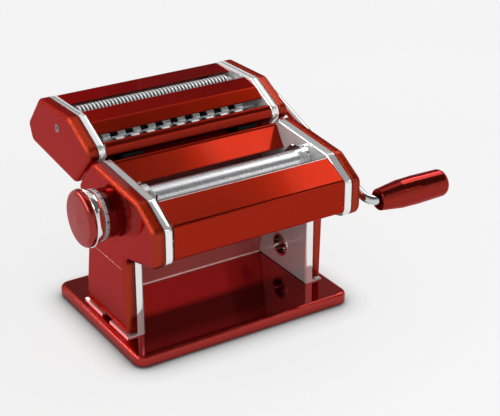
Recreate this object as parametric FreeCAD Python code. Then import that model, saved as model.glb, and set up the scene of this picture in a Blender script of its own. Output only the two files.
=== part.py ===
import FreeCAD, Part
import math
import os

# Hand-cranked dough roller with its noodle cutter fitted and the crank set in the cutter.
# X runs along the rollers, with the crank on the +X side. Y runs to the back and Z is up.
# The origin lies on the table, midway between the side plates, under the middle of the base.
# Sizes are in millimetres and angles in degrees. A place in a side view is (y, z).

# Base and feet
base_side_margin = 7.0
base_depth = 151.0
base_height = 9.0
base_corner = 10.0
base_edge = 3.0
base_sheet = 1.5
foot_radius = 9.0
foot_drop = 2.0
foot_inset = 15.0

# Side plates and the covers outside them
plate_gap = 158.0
plate_sheet = 1.5
plate_bend = 2.0
flange_width = 7.0
foot_tab_setback = 0.5
foot_tab_gap = 14.0
cover_gap = 0.8
cover_depth = 10.0
cover_wall = 1.5
cover_edge = 3.5
cover_lift = 4.0
leg_crease = 73.0
leg_lean = 1.5
corner_round = 7.0

# Side view of the body; the upper corners are steps from the axis of the drive roller
drive_axis = (-39.3, 126.0)
top_rear_step = (45.3, 22.8)
top_front_step = (-29.7, 16.8)
brow_step = (-56.0, 1.4)
chin_step = (-56.0, -29.5)
rear_knee_step = (72.8, -5.5)
chin_round = 10.0
chin_drop = 12.5
leg_front = -43.0
leg_rear = 35.0
notch_round = 10.0
waist = (22.0, 72.0)
waist_round = 25.0

# Smooth rollers
roller_radius = 12.0
roller_gap = 0.5
roller_tilt = 27.0
roller_end_gap = 1.5
roller_chamfer = 0.8
roller_line_inset = 10.5
roller_line_width = 0.6
roller_line_depth = 0.4
drive_journal = 6.5
idle_journal = 4.5
journal_play = 0.05
bush_wall = 2.5
bush_flange = 2.5
bush_flange_depth = 1.7
cutter_bush_wall = 1.5
cutter_bush_flange = 0.9

# Roller gears
gear_teeth = 12
gear_width = 6.0
gear_tooth_reach = 2.4
gear_root_gap = 0.35
gear_tooth_share = 0.4
gear_side_gap = 0.6

# Roller spacing: sliding links, tie rod, eccentric and knob
gap_travel = 4.1
knob_settings = 10
knob_step = 18.0
link_sheet = 4.0
link_gap = 0.3
link_eye = 10.0
link_tie_drop = 20.0
link_tie_radius = 3.0
slot_play = 0.3
eccentric_radius = 5.5
eccentric_width = 3.2
yoke_play = 0.8
yoke_wall = 2.0
yoke_depth = 4.0
adjuster_radius = 4.0
collar_radius = 20.5
collar_depth = 7.0
collar_taper = 0.8
dial_radius = 21.5
dial_bore = 16.0
dial_depth = 3.4
dial_round = 0.8
dimple_circle = 13.0
dimple_radius = 1.6
dimple_depth = 1.5
pin_radius = 1.2
pin_gap = 0.3
knob_gap = 0.4
knob_radius = 24.3
knob_waist = 20.8
knob_depth = 8.5
knob_wall = 1.6
knob_hub_depth = 2.6
knob_rim = 0.9
knob_round = 0.4
cap_radius = 23.7
cap_depth = 6.0
cap_wall = 1.6
cap_round = 4.0
cap_crown = 0.9
spring_radius = 6.3
spring_wall = 1.2
spring_pressed = 3.4
washer_radius = 7.2
washer_depth = 1.4
washer_gap = 1.0

# Folded sheets of the body
sheet = 1.2
sheet_bend = 2.0
sheet_end_gap = 0.2
front_lip_step = (-1.5, -3.2)
front_setback = 0.9
front_bottom_rise = 5.5
front_return_step = (9.3, 2.5)
feed_low_gap = 4.9
feed_low_turn = 45.8
feed_setback = 1.8
feed_top_drop = 3.0
feed_end_rise = 1.5
panel_setback = 2.4
panel_top_drop = 2.5
panel_lift = 0.3
guide_sheet = 1.4
guide_inset = 7.6
guide_rise = 13.4
guide_front_reach = 17.7
guide_crest_reach = 11.3
guide_rear_reach = 30.3
guide_sleeve = 3.6
scraper_sheet = 1.0
scraper_gap = 0.3
scraper_reach = 16.0
scraper_turn = 250.0
scraper_lean_turn = 55.0

# Tie rods of the body
tie_radius = 4.0
front_tie_step = (15.3, 9.0)
rear_tie_step = (-19.5, -22.5)
nut_across = 11.0
nut_depth = 4.0
tie_end = 1.0

# Socket for the table clamp in the right leg
clamp_setback = 40.0
clamp_rise = 22.0
clamp_bore = 8.5
clamp_wall = 1.5
clamp_rim = 10.8
clamp_rim_depth = 0.8
clamp_depth = 12.0

# Screws under the base
base_screw_radius = 2.0
base_screw_head = 3.6
base_screw_head_depth = 2.2
base_screw_length = 7.0
base_screw_inset = 13.0

# Side view of the cutter
roof_rear_step = (28.4, 11.7)
roof_front_step = (4.4, 23.6)
cutter_brow_step = (-13.7, 8.4)
cutter_stand_off = 3.51
cutter_lip_down = 3.42
cutter_toe_down = 47.16
heel_step = (47.9, -33.6)
tail_step = (54.4, -18.1)

# Cutter rollers, their gears and combs
wide_front_down = 15.6
cutter_spacing = 15.0
wide_lean = 6.0
pair_distance = 21.32
pair_lean = 14.95
fine_lean = 20.0
disc_radius = 8.6
core_radius = 6.0
fine_pitch = 3.4
wide_pitch = 14.2
disc_side_gap = 0.2
cut_end_gap = 2.5
cutter_journal = 4.8
cutter_gear_teeth = 10
cutter_gear_width = 5.0
cutter_tooth_reach = 1.35
cutter_root_gap = 0.3
cutter_tooth_share = 0.42
comb_sheet = 1.0
comb_gap = 0.3
comb_bar = 3.5

# Folded sheets, ties, rails and shoes of the cutter
cutter_sheet = 1.0
cutter_tie_radius = 3.0
tail_tie_step = (39.9, -17.1)
heel_tie_step = (6.9, -29.1)
toe_tie_step = (2.6, -23.5)
rear_sheet_steps = [(49.4, -28.1), (51.9, -18.6), (28.4, 9.7), (6.4, 8.3)]
middle_fine_gap = 1.96
middle_fine_turn = 114.6
middle_crest_step = (-5.4, 16.2)
middle_fold_step = (-3.4, 18.0)
middle_low_step = (1.0, 12.7)
trough_rim_gap = 1.27
trough_rim_turn = 134.2
trough_crest_step = (-9.28, 10.0)
trough_brow_step = (-13.28, 6.67)
trough_fold_down = 5.31
trough_stand_off = 4.885
trough_roller_gap = 1.31
trough_slope = 35.5
trough_bend = 2.0
rail_spread = 110.0
rail_stem = 6.0
rail_head = 12.0
rail_head_depth = 1.3
rail_height = 2.55
rail_start = 10.7
rail_end = 34.7
rail_play = 0.3
shoe_width = 18.0
shoe_wall = 1.1
shoe_start = 8.2
shoe_end = 28.7
cap_hole = 6.5
cap_screw_step = (6.8, 1.6)
cap_screw_head = 3.4
cap_screw_head_depth = 1.2
cap_screw_radius = 1.5
cap_screw_length = 6.0
cap_screw_cross = 4.6
cap_screw_slot = 0.9
cap_screw_slot_depth = 0.8

# Crank and grip
socket_radius = 3.1
socket_depth = 16.0
crank_tip_radius = 3.0
crank_tip_gap = 0.6
crank_radius = 4.0
crank_arm_x = 107.0
crank_reach = (-155.0, -53.0)
crank_bend = 10.0
grip_start = 116.0
grip_length = 70.0
grip_crease = 22.0
grip_neck = 9.2
grip_neck_round = 1.6
grip_cup = 6.4
grip_cup_depth = 4.0
grip_waist = 12.1
grip_belly = 12.5
grip_belly_share = 0.55
grip_end = 11.8
grip_end_round = 5.5
grip_crown = 1.0
grip_play = 0.1
grip_end_wall = 5.0


def vec(x, place):
    return FreeCAD.Vector(x, place[0], place[1])


def polar(centre, radius, degrees):
    turn = math.radians(degrees)
    return (centre[0] + radius * math.cos(turn), centre[1] + radius * math.sin(turn))


def shifted(place, direction, distance):
    return (place[0] + direction[0] * distance, place[1] + direction[1] * distance)


def stepped(place, step):
    return shifted(place, step, 1)


# Place on the rear slope of the body: down the slope from its top, and out from it
def on_slope(down, out):
    return shifted(shifted(top_rear, slope_down, down), slope_out, out)


# Places of the frame that follow from the sizes above
base_top = foot_drop + base_height
inner_x = plate_gap / 2
plate_x = inner_x + plate_sheet
flange_x = inner_x + flange_width
cover_x = flange_x + cover_gap
face_x = flange_x + cover_depth
base_width = 2 * (face_x + base_side_margin)
top_rear = stepped(drive_axis, top_rear_step)
top_front = stepped(drive_axis, top_front_step)
brow = stepped(drive_axis, brow_step)
chin = stepped(drive_axis, chin_step)
rear_knee = stepped(drive_axis, rear_knee_step)
under_body = chin[1] - chin_drop
tie_places = [stepped(chin, front_tie_step), stepped(rear_knee, rear_tie_step)]
clamp_axis = (leg_front + clamp_setback, base_top + clamp_rise)
slope_length = math.hypot(rear_knee[0] - top_rear[0], rear_knee[1] - top_rear[1])
slope_down = ((rear_knee[0] - top_rear[0]) / slope_length, (rear_knee[1] - top_rear[1]) / slope_length)
slope_out = (-slope_down[1], slope_down[0])

# Places of the smooth rollers and the knob
roller_spacing = 2 * roller_radius + roller_gap
tilt = math.radians(roller_tilt)
towards_drive = (-math.cos(tilt), math.sin(tilt))
away_down = (-math.sin(tilt), -math.cos(tilt))
idle_axis = shifted(drive_axis, towards_drive, -roller_spacing)
idle_far = shifted(idle_axis, towards_drive, -gap_travel)
knob_axis = shifted(idle_axis, towards_drive, -gap_travel / 2)
link_tie_axis = shifted(idle_axis, away_down, link_tie_drop)
roller_end = inner_x - roller_end_gap
cut_width = 2 * (roller_end - cut_end_gap)
bush_end = plate_x + bush_flange_depth
link_x = plate_x + link_gap
gear_x = link_x + link_sheet + gear_side_gap
journal_end = gear_x + gear_width
collar_x = face_x + collar_depth
dial_x = collar_x + dial_depth
knob_x = dial_x + knob_gap
hub_x = knob_x + knob_hub_depth
rim_x = knob_x + knob_depth
cap_x = rim_x + cap_depth
washer_x = cap_x - cap_wall - washer_depth - washer_gap

# Places of the cutter and the crank
wide_front_axis = on_slope(wide_front_down, trough_stand_off + trough_roller_gap + disc_radius)
wide_axis = polar(wide_front_axis, cutter_spacing, wide_lean)
fine_axis = polar(wide_axis, pair_distance, pair_lean)
fine_rear_axis = polar(fine_axis, cutter_spacing, fine_lean)
cutter_axes = [fine_axis, fine_rear_axis, wide_axis, wide_front_axis]
cutter_tie_places = [stepped(fine_rear_axis, tail_tie_step), stepped(fine_rear_axis, heel_tie_step),
                     stepped(wide_axis, toe_tie_step)]
cutter_gear_x = bush_end + gear_side_gap
cutter_gear_end = cutter_gear_x + cutter_gear_width
cap_screw_axis = stepped(fine_axis, cap_screw_step)
crank_elbow = stepped(fine_axis, crank_reach)


# A path of straight runs with a round bend at each point that has a radius
def rounded_path(points, closed):
    count = len(points)
    runs = []
    for index, (place, radius) in enumerate(points):
        is_end = not closed and index in (0, count - 1)
        if radius == 0 or is_end:
            runs.append((place, None, place))
            continue
        back = (points[index - 1][0] - place).normalize()
        ahead = (points[(index + 1) % count][0] - place).normalize()
        half = back.getAngle(ahead) / 2
        middle = (back + ahead).normalize()
        reach = radius / math.tan(half)
        crest = place + middle * (radius / math.sin(half) - radius)
        runs.append((place + back * reach, crest, place + ahead * reach))
    edges = []
    for index, (start, crest, end) in enumerate(runs):
        if crest is not None:
            edges.append(Part.Arc(start, crest, end).toShape())
        if index + 1 < count or closed:
            following = runs[(index + 1) % count][0]
            if end.distanceToPoint(following) > 1e-6:
                edges.append(Part.LineSegment(end, following).toShape())
    return Part.Wire(edges)


# A flat face in the side view, from corners (place, radius)
def side_face(corners):
    points = [(vec(0, place), radius) for place, radius in corners]
    return Part.Face(rounded_path(points, True))


def inset(face, distance):
    return face.makeOffset2D(-distance)


def prism(face, x_start, x_end):
    moved = face.translated(FreeCAD.Vector(x_start, 0, 0))
    return moved.extrude(FreeCAD.Vector(x_end - x_start, 0, 0))


def rod(place, radius, x_start, x_end):
    return Part.makeCylinder(radius, x_end - x_start, vec(x_start, place), FreeCAD.Vector(1, 0, 0))


def ring(place, outer, inner, x_start, x_end):
    return rod(place, outer, x_start, x_end).cut(rod(place, inner, x_start, x_end))


def mirrored(shape):
    return shape.mirror(FreeCAD.Vector(0, 0, 0), FreeCAD.Vector(1, 0, 0))


# A body turned about X at a place, from a profile of (x, radius) or (x, radius, corner round)
def turned(profile, place):
    points = []
    for x, radius, *corner in profile:
        points.append((vec(x, (place[0], place[1] + radius)), corner[0] if corner else 0))
    face = Part.Face(rounded_path(points, True))
    return face.revolve(vec(0, place), FreeCAD.Vector(1, 0, 0), 360)


# A folded strip of sheet metal across the machine; side is 1 or -1 for where its thickness lies
def folded_sheet(path, thickness, bend, half_width, side):
    points = [(vec(0, place), bend) for place in path]
    outline = rounded_path(points, False).makeOffset2D(side * thickness, 0, True, True)
    return prism(outline, -half_width, half_width)


def slot_face(start, end, radius):
    length = math.hypot(end[0] - start[0], end[1] - start[1])
    along = ((end[0] - start[0]) / length, (end[1] - start[1]) / length)
    across = (-along[1], along[0])
    first = [shifted(start, across, radius), shifted(start, along, -radius), shifted(start, across, -radius)]
    last = [shifted(end, across, -radius), shifted(end, along, radius), shifted(end, across, radius)]
    edges = [Part.Arc(vec(0, first[0]), vec(0, first[1]), vec(0, first[2])).toShape(),
             Part.LineSegment(vec(0, first[2]), vec(0, last[0])).toShape(),
             Part.Arc(vec(0, last[0]), vec(0, last[1]), vec(0, last[2])).toShape(),
             Part.LineSegment(vec(0, last[2]), vec(0, first[0])).toShape()]
    return Part.Face(Part.Wire(edges))


# Outline edges of the end face at X = x, whose leg leans in by lean; the foot and the crease stay sharp
def rim_edges(shape, x, lean):
    foot = shape.BoundBox.ZMin + 1e-3
    found = []
    for edge in shape.Edges:
        box = edge.BoundBox
        is_sharp = box.ZLength < 1e-4 and (box.ZMax < foot or abs(box.ZMax - leg_crease) < 1e-4)
        places = [vertex.Point for vertex in edge.Vertexes]
        on_face = all(abs(place.x - leaning(x, place.z, lean)) < 1e-4 for place in places)
        if on_face and not is_sharp:
            found.append(edge)
    return found


# X of a face that leans in below the crease of the leg
def leaning(x, z, lean):
    return x - lean * max(0, leg_crease - z) / (leg_crease - base_top)


# A plate on the +X side with a flange turned outwards all round
def flanged_plate(face):
    solid = prism(face, inner_x, flange_x)
    solid = solid.makeFillet(plate_bend, rim_edges(solid, inner_x, 0))
    hollow = prism(inset(face, plate_sheet), plate_x, flange_x)
    return solid.cut(hollow)


# What the lean of the leg takes off a face at X = x
def leg_wedge(x):
    corners = [(x, leg_crease), (x + cover_depth, leg_crease), (x + cover_depth, base_top),
               (x - leg_lean, base_top)]
    points = [FreeCAD.Vector(place, leg_front - cover_depth, z) for place, z in corners]
    face = Part.Face(Part.makePolygon(points + [points[0]]))
    return face.extrude(FreeCAD.Vector(0, leg_rear - leg_front + 2 * cover_depth, 0))


# A dished cover on the +X side with a round edge
def dished_cover(face):
    solid = prism(face, cover_x, face_x).cut(leg_wedge(face_x))
    solid = solid.makeFillet(cover_edge, rim_edges(solid, face_x, leg_lean))
    inner = face_x - cover_wall
    hollow = prism(inset(face, cover_wall), cover_x, inner).cut(leg_wedge(inner))
    hollow = hollow.makeFillet(cover_edge - cover_wall, rim_edges(hollow, inner, leg_lean))
    return solid.cut(hollow)


# Side view of the body, down to a foot at a given height
def body_outline(foot):
    rise = (foot - base_top) / (waist[1] - base_top)
    heel = leg_rear + (waist[0] - leg_rear) * rise
    return side_face([(top_rear, corner_round), (top_front, corner_round), (brow, corner_round),
                      (chin, chin_round), ((leg_front, under_body), notch_round),
                      ((leg_front, foot), 0), ((heel, foot), 0),
                      (waist, waist_round), (rear_knee, corner_round)])


def cutter_outline():
    places = [stepped(fine_rear_axis, roof_rear_step), stepped(wide_axis, roof_front_step),
              stepped(wide_front_axis, cutter_brow_step), on_slope(cutter_lip_down, cutter_stand_off),
              on_slope(cutter_toe_down, cutter_stand_off), stepped(fine_rear_axis, heel_step),
              stepped(fine_rear_axis, tail_step)]
    return side_face([(place, corner_round) for place in places])


# Spur gear on X; one tooth points to phase
def gear_wheel(place, teeth, spacing, reach, root_gap, share, bore, phase, x_start, width):
    pitch_radius = spacing / 2
    tip_radius = pitch_radius + reach
    root_radius = spacing - tip_radius - root_gap
    half_pitch = share * 180.0 / teeth
    half_tip = half_pitch * pitch_radius / tip_radius - math.degrees(0.36 * reach / tip_radius)
    half_root = half_pitch * 1.25
    corners = []
    for tooth in range(teeth):
        middle = phase + tooth * 360.0 / teeth
        corners.append((polar(place, root_radius, middle - half_root), 0))
        corners.append((polar(place, pitch_radius, middle - half_pitch), 0))
        corners.append((polar(place, tip_radius, middle - half_tip), 0))
        corners.append((polar(place, tip_radius, middle + half_tip), 0))
        corners.append((polar(place, pitch_radius, middle + half_pitch), 0))
        corners.append((polar(place, root_radius, middle + half_root), 0))
    wheel = prism(side_face(corners), x_start, x_start + width)
    return wheel.cut(rod(place, bore, x_start, x_start + width))


def bearing_bush(place, journal, wall, flange):
    inner = journal + journal_play
    sleeve = ring(place, inner + wall, inner, inner_x, plate_x)
    rim = ring(place, inner + wall + flange, inner, plate_x, bush_end)
    return sleeve.fuse(rim).removeSplitter()


def base_plate():
    corners = []
    for side_x, side_y in ((1, 1), (-1, 1), (-1, -1), (1, -1)):
        corner = FreeCAD.Vector(side_x * base_width / 2, side_y * base_depth / 2, foot_drop)
        corners.append((corner, base_corner))
    face = Part.Face(rounded_path(corners, True))
    solid = face.extrude(FreeCAD.Vector(0, 0, base_height))
    top_edges = [edge for edge in solid.Edges if edge.BoundBox.ZMin > base_top - 1e-4]
    solid = solid.makeFillet(base_edge, top_edges)
    hollow = inset(face, base_sheet).extrude(FreeCAD.Vector(0, 0, base_height - base_sheet))
    tray = solid.cut(hollow)
    for x, y in base_screw_places():
        tray = tray.cut(Part.makeCylinder(base_screw_radius, base_height, FreeCAD.Vector(x, y, foot_drop)))
    return tray


def rubber_feet():
    feet = []
    for x in (-base_width / 2 + foot_inset, base_width / 2 - foot_inset):
        for y in (-base_depth / 2 + foot_inset, base_depth / 2 - foot_inset):
            foot = Part.makeCylinder(foot_radius, base_top - base_sheet, FreeCAD.Vector(x, y, 0))
            feet.append(foot)
    return Part.makeCompound(feet)


def base_screw_places():
    x = (plate_x + flange_x) / 2
    rows = (leg_front + base_screw_inset, leg_rear - base_screw_inset)
    return [(side * x, y) for side in (-1, 1) for y in rows]


def base_screws():
    screws = []
    for x, y in base_screw_places():
        head_top = base_top - base_sheet
        head = Part.makeCylinder(base_screw_head, base_screw_head_depth,
                                 FreeCAD.Vector(x, y, head_top - base_screw_head_depth))
        shank = Part.makeCylinder(base_screw_radius, base_screw_length,
                                  FreeCAD.Vector(x, y, head_top))
        screws.append(head.fuse(shank).removeSplitter())
    return Part.makeCompound(screws)


# Slots in both plates for the sliding roller and the rod that ties its links
def slide_slots(radius, axis):
    far = shifted(axis, towards_drive, -gap_travel)
    return prism(slot_face(axis, far, radius + slot_play), inner_x, plate_x)


# Feet of a side plate: tabs that run out over the base, with a space between them
def foot_tabs():
    middle = (leg_front + leg_rear) / 2
    tabs = []
    for start, end in ((leg_front, middle - foot_tab_gap / 2), (middle + foot_tab_gap / 2, leg_rear)):
        corner = FreeCAD.Vector(plate_x, start, base_top)
        tabs.append(Part.makeBox(face_x - foot_tab_setback - plate_x, end - start, plate_sheet, corner))
    return tabs


def side_plate_right():
    plate = flanged_plate(body_outline(base_top)).fuse(foot_tabs()).removeSplitter()
    plate = plate.cut(rod(drive_axis, drive_journal + journal_play + bush_wall, inner_x, plate_x))
    plate = plate.cut(slide_slots(idle_journal, idle_axis))
    plate = plate.cut(slide_slots(link_tie_radius, link_tie_axis))
    for place in tie_places:
        plate = plate.cut(rod(place, tie_radius, inner_x, plate_x))
    for x, y in base_screw_places():
        if x > 0:
            plate = plate.cut(Part.makeCylinder(base_screw_radius, base_screw_length,
                                                FreeCAD.Vector(x, y, base_top - plate_sheet)))
    return plate


def side_cover_right():
    cover = dished_cover(body_outline(base_top + cover_lift))
    return cover.cut(rod(drive_axis, drive_journal + bush_wall, cover_x, face_x))


def side_cover_left():
    cover = mirrored(dished_cover(body_outline(base_top + cover_lift)))
    return cover.cut(rod(knob_axis, adjuster_radius + slot_play, -face_x, -cover_x))


def front_cover():
    front_y = brow[0] + front_setback
    path = [stepped(top_front, front_lip_step), (front_y, brow[1] + front_setback),
            (front_y, chin[1] + front_bottom_rise), stepped(chin, front_return_step)]
    return folded_sheet(path, sheet, sheet_bend, inner_x - sheet_end_gap, 1)


def feed_plate():
    edge = polar(idle_axis, roller_radius + feed_low_gap, feed_low_turn)
    top = on_slope(feed_top_drop, -feed_setback)
    low = on_slope(slope_length - feed_end_rise, -feed_setback)
    return folded_sheet([edge, top, low], sheet, sheet_bend, inner_x - sheet_end_gap, -1)


def back_panel():
    path = [(leg_rear - panel_setback, base_top + panel_lift), (waist[0] - panel_setback, waist[1]),
            (rear_knee[0] - panel_setback, rear_knee[1] - panel_top_drop)]
    return folded_sheet(path, sheet, sheet_bend, inner_x - sheet_end_gap, -1)


def tie_rods():
    reach = plate_x + nut_depth + tie_end
    return Part.makeCompound([rod(place, tie_radius, -reach, reach) for place in tie_places])


def hex_nut(place, bore, x_start):
    corners = [(polar(place, nut_across / math.sqrt(3), 60 * step), 0) for step in range(6)]
    nut = prism(side_face(corners), x_start, x_start + nut_depth)
    return nut.cut(rod(place, bore, x_start, x_start + nut_depth))


def tie_nuts():
    nuts = []
    for place in tie_places:
        nuts.append(hex_nut(place, tie_radius, plate_x))
        nuts.append(hex_nut(place, tie_radius, -plate_x - nut_depth))
    return Part.makeCompound(nuts)


# Cheek over the end of the nip, hollowed to both rollers, on a half sleeve that stands on the side plate
def side_guide_right():
    clear = roller_radius + scraper_gap
    reach = roller_radius + guide_sleeve
    x_start = inner_x - guide_inset
    low = (drive_axis[1] + idle_axis[1]) / 2
    top = drive_axis[1] + guide_rise
    front = drive_axis[0] - guide_front_reach
    rear = drive_axis[0] + guide_rear_reach
    cheek = side_face([((front, top), 0), ((drive_axis[0] + guide_crest_reach, top), 0), ((rear, low), 0),
                       ((front, low), 0)])
    above = side_face([((front, low), 0), ((rear, low), 0), ((rear, low + 2 * reach), 0),
                       ((front, low + 2 * reach), 0)])
    sleeve = rod(drive_axis, reach, x_start, inner_x).common(prism(above, x_start, inner_x))
    guide = prism(cheek, x_start, x_start + guide_sheet).fuse(sleeve)
    guide = guide.cut(rod(drive_axis, clear, x_start, inner_x))
    return guide.cut(prism(slot_face(idle_axis, idle_far, clear), x_start, inner_x)).removeSplitter()


# Blade that keeps dough off the drive roller
def front_scraper():
    touch = polar(drive_axis, roller_radius + scraper_gap, scraper_turn)
    heel = polar(touch, scraper_reach, scraper_turn - scraper_lean_turn)
    path = [touch, heel, shifted(heel, (-1, 0), scraper_reach / 2)]
    return folded_sheet(path, scraper_sheet, scraper_sheet, inner_x, -1)


# Barrel of a smooth roller with a fine line near each end, between two journals
def smooth_roller(place, journal, left_end, right_end):
    line = inner_x - roller_line_inset
    floor = roller_radius - roller_line_depth
    barrel = [(-roller_end, roller_radius - roller_chamfer), (-roller_end + roller_chamfer, roller_radius)]
    for x in (-line, line):
        barrel += [(x - roller_line_width / 2, roller_radius), (x - roller_line_width / 2, floor),
                   (x + roller_line_width / 2, floor), (x + roller_line_width / 2, roller_radius)]
    barrel += [(roller_end - roller_chamfer, roller_radius), (roller_end, roller_radius - roller_chamfer)]
    profile = [(left_end, 0), (left_end, journal), (-roller_end, journal)] + barrel
    profile += [(roller_end, journal), (right_end, journal), (right_end, 0)]
    return turned(profile, place)


def drive_roller():
    roller = smooth_roller(drive_axis, drive_journal, -bush_end, journal_end)
    return roller.cut(rod(drive_axis, socket_radius, journal_end - socket_depth, journal_end))


def idle_roller():
    return smooth_roller(idle_axis, idle_journal, -link_x - link_sheet, journal_end)


def roller_gear(place, mate, bore, half_step):
    facing = math.degrees(math.atan2(mate[1] - place[1], mate[0] - place[0]))
    phase = facing + half_step * 180.0 / gear_teeth
    return gear_wheel(place, gear_teeth, roller_spacing, gear_tooth_reach, gear_root_gap, gear_tooth_share,
                      bore, phase, gear_x, gear_width)


# Link that carries one end of the idle roller and slides on the outside of a side plate
def roller_link():
    face = slot_face(idle_axis, link_tie_axis, link_eye)
    link = prism(face, link_x, link_x + link_sheet)
    link = link.cut(rod(idle_axis, idle_journal + journal_play, link_x, link_x + link_sheet))
    return link.cut(rod(link_tie_axis, link_tie_radius, link_x, link_x + link_sheet))


# The left link also has the slotted yoke that the eccentric turns in
def roller_link_left():
    start = link_x + link_sheet
    half_width = eccentric_radius + yoke_play
    half_length = half_width + gap_travel / 2
    across = (-towards_drive[1], towards_drive[0])
    outer = slot_face(shifted(idle_axis, across, -gap_travel / 2), shifted(idle_axis, across, gap_travel / 2),
                      half_width + yoke_wall)
    window = slot_face(shifted(idle_axis, across, half_width - half_length),
                       shifted(idle_axis, across, half_length - half_width), half_width)
    yoke = prism(outer, start, start + yoke_depth).cut(prism(window, start, start + yoke_depth))
    return mirrored(roller_link().fuse(yoke).removeSplitter())


def link_tie_rod():
    end = link_x + link_sheet
    return rod(link_tie_axis, link_tie_radius, -end, end)


# Blade on the tie rod that keeps dough off the idle roller
def rear_scraper():
    top = shifted(idle_axis, away_down, roller_radius + scraper_gap)
    low = shifted(link_tie_axis, away_down, -link_tie_radius)
    side = shifted((0, 0), towards_drive, scraper_sheet / 2)
    corners = [(shifted(top, side, 1), 0), (shifted(top, side, -1), 0),
               (shifted(low, side, -1), 0), (shifted(low, side, 1), 0)]
    blade = prism(side_face(corners), -roller_end, roller_end)
    return blade.cut(rod(link_tie_axis, link_tie_radius, -roller_end, roller_end))


# Shaft of the knob with the eccentric on its inner end and a washer on its outer end
def adjuster_shaft():
    eccentric_start = link_x + link_sheet + (yoke_depth - eccentric_width) / 2
    eccentric_end = eccentric_start + eccentric_width
    eccentric = rod(idle_axis, eccentric_radius, -eccentric_end, -eccentric_start)
    shaft = rod(knob_axis, adjuster_radius, -washer_x - washer_depth, -eccentric_end)
    washer = rod(knob_axis, washer_radius, -washer_x - washer_depth, -washer_x)
    return shaft.fuse(eccentric).fuse(washer).removeSplitter()


def dial_collar():
    bore = adjuster_radius + journal_play
    profile = [(-face_x, bore), (-face_x, collar_radius), (-collar_x, collar_radius - collar_taper),
               (-collar_x, bore)]
    collar = turned(profile, knob_axis)
    for setting in range(knob_settings):
        place = polar(knob_axis, dimple_circle, 90 + setting * knob_step)
        collar = collar.cut(rod(place, dimple_radius, -collar_x, -collar_x + dimple_depth))
    return collar


def dial_ring():
    profile = [(-collar_x, dial_bore), (-collar_x, dial_radius, dial_round),
               (-dial_x, dial_radius, dial_round), (-dial_x, dial_bore)]
    return turned(profile, knob_axis)


def knob_skirt():
    bore = adjuster_radius + journal_play
    profile = [(-knob_x, bore), (-knob_x, knob_waist, knob_round),
               (-rim_x + knob_rim, knob_radius, knob_round),
               (-rim_x, knob_radius, knob_round), (-rim_x, knob_radius - knob_wall),
               (-hub_x, knob_waist - knob_wall), (-hub_x, bore)]
    return turned(profile, knob_axis)


# Domed cap that closes the knob over the spring
def knob_cap():
    inner = cap_radius - cap_wall
    profile = [(-rim_x, inner), (-rim_x, cap_radius), (-cap_x + cap_crown, cap_radius, cap_round),
               (-cap_x, 0), (-cap_x + cap_wall, 0),
               (-cap_x + cap_wall + cap_crown, inner, cap_round - cap_wall)]
    return turned(profile, knob_axis)


# Pin in the knob that drops into one dimple of the collar at each setting
def knob_pin():
    place = polar(knob_axis, dimple_circle, 90)
    return rod(place, pin_radius, -knob_x, -collar_x - pin_gap)


# Spring on the knob's hub, at its pressed length
def knob_spring():
    return ring(knob_axis, spring_radius, spring_radius - spring_wall, -hub_x - spring_pressed, -hub_x)


def clamp_socket():
    rim = ring(clamp_axis, clamp_rim, clamp_bore, inner_x - clamp_rim_depth, inner_x)
    sleeve = rod(clamp_axis, clamp_bore + clamp_wall, inner_x, inner_x + clamp_depth)
    sleeve = sleeve.cut(rod(clamp_axis, clamp_bore, inner_x, inner_x + clamp_depth - clamp_wall))
    return rim.fuse(sleeve).removeSplitter()


def cutter_plate():
    plate = flanged_plate(cutter_outline())
    for place in cutter_axes:
        plate = plate.cut(rod(place, cutter_journal + journal_play + cutter_bush_wall, inner_x, plate_x))
    for place in cutter_tie_places:
        plate = plate.cut(rod(place, cutter_tie_radius, inner_x, plate_x))
    return plate


def cutter_cap_right():
    cap = dished_cover(cutter_outline())
    for place in (fine_axis, wide_axis):
        cap = cap.cut(rod(place, cap_hole, cover_x, face_x))
    return cap


# Head of the cap screw, countersunk in the left cap
def screw_head():
    inner = -face_x + cap_screw_head_depth
    return turned([(-face_x, 0), (-face_x, cap_screw_head), (inner, cap_screw_radius), (inner, 0)],
                  cap_screw_axis)


def cutter_cap_left():
    cap = mirrored(dished_cover(cutter_outline()))
    return cap.cut(rod(cap_screw_axis, cap_screw_radius, -face_x, -cover_x)).cut(screw_head())


def cap_screw():
    shank = rod(cap_screw_axis, cap_screw_radius, -face_x + cap_screw_head_depth, -face_x + cap_screw_length)
    screw = screw_head().fuse(shank).removeSplitter()
    for width, height in ((cap_screw_cross, cap_screw_slot), (cap_screw_slot, cap_screw_cross)):
        corner = vec(-face_x, (cap_screw_axis[0] - width / 2, cap_screw_axis[1] - height / 2))
        screw = screw.cut(Part.makeBox(cap_screw_slot_depth, width, height, corner))
    return screw


def cutter_bushes():
    bushes = []
    for place in cutter_axes:
        bush = bearing_bush(place, cutter_journal, cutter_bush_wall, cutter_bush_flange)
        bushes.append(bush)
        bushes.append(mirrored(bush))
    return Part.makeCompound(bushes)


def cutter_tie_rods():
    rods = [rod(place, cutter_tie_radius, -plate_x, plate_x) for place in cutter_tie_places]
    return Part.makeCompound(rods)


# Left edges of the cutting discs; the second roller of a pair is shifted by half a pitch
def disc_starts(pitch, is_second):
    count = int(cut_width / pitch)
    first = -count * pitch / 2
    if is_second:
        return [first + pitch / 2 + step * pitch for step in range(count - 1)]
    return [first + step * pitch for step in range(count)]


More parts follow.
